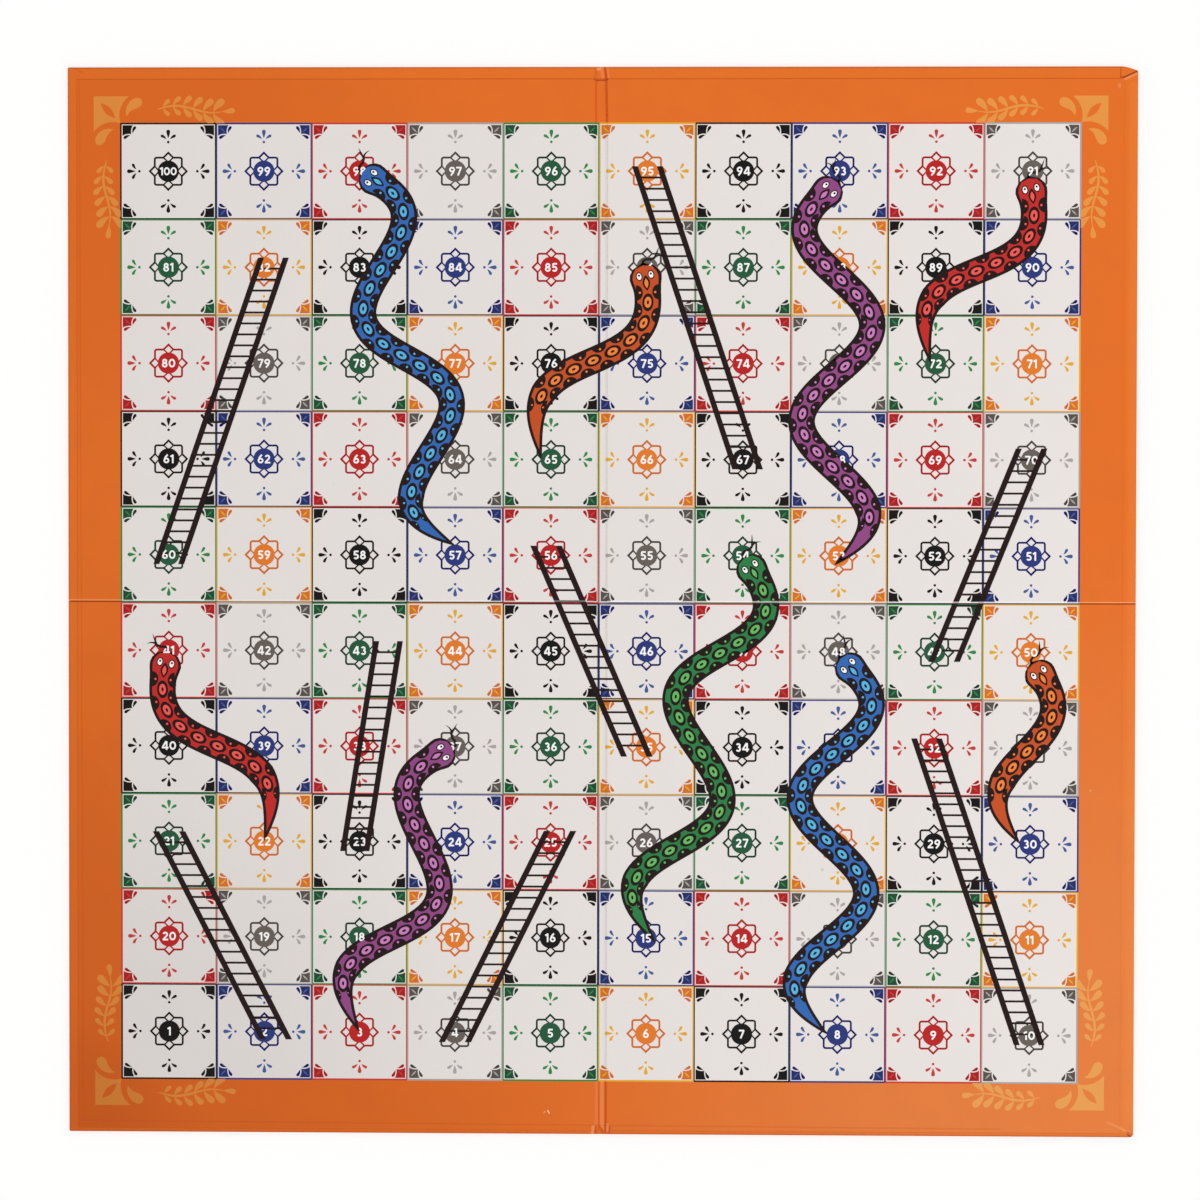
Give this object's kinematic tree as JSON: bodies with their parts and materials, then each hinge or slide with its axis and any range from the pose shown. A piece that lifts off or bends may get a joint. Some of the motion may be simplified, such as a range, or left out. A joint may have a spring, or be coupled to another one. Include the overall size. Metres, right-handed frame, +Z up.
{
  "type": "folding board game board",
  "caption": "Square folding board for snakes and ladders: paper-covered greyboard panels on paper folds, with one cut so that it folds to a quarter.",
  "frame": {"origin": "on the underside, under the middle of the open board, where the folds and the cut meet", "axes": "+X towards the columns on the right, along the cut; +Y towards the last row of squares, along the upper fold; +Z up out of the print"},
  "size_m": [0.4, 0.4, 0.0021],
  "materials": {
    "greyboard": "matte",
    "covering_paper": "satin",
    "printed_sheet": "satin"
  },
  "bodies": {
    "top_left": {"greyboard_top_left": "greyboard", "wrap_top_left": "covering_paper", "face_top_left": "printed_sheet", "face_hinge_upper": "printed_sheet", "wrap_hinge_upper": "covering_paper", "wrap_hinge_left": "covering_paper"},
    "top_right": {"greyboard_top_right": "greyboard", "wrap_top_right": "covering_paper", "face_top_right": "printed_sheet"},
    "bottom_left": {"greyboard_bottom_left": "greyboard", "wrap_bottom_left": "covering_paper", "face_bottom_left": "printed_sheet", "face_hinge_lower": "printed_sheet", "wrap_hinge_lower": "covering_paper"},
    "bottom_right": {"greyboard_bottom_right": "greyboard", "wrap_bottom_right": "covering_paper", "face_bottom_right": "printed_sheet"}
  },
  "joints": [
    {"name": "left_fold", "type": "hinge", "parent": "top_left", "child": "bottom_left", "pos_m": [-0.1, 0, -0.00015], "axis": [1, 0, 0], "range_deg": [0, 180]},
    {"name": "upper_fold", "type": "hinge", "parent": "top_left", "child": "top_right", "pos_m": [0, 0.1, 0.00215], "axis": [0, -1, 0], "range_deg": [0, 180]},
    {"name": "lower_fold", "type": "hinge", "parent": "bottom_left", "child": "bottom_right", "pos_m": [0, -0.1, 0.00215], "axis": [0, -1, 0], "range_deg": [0, 180]}
  ]
}
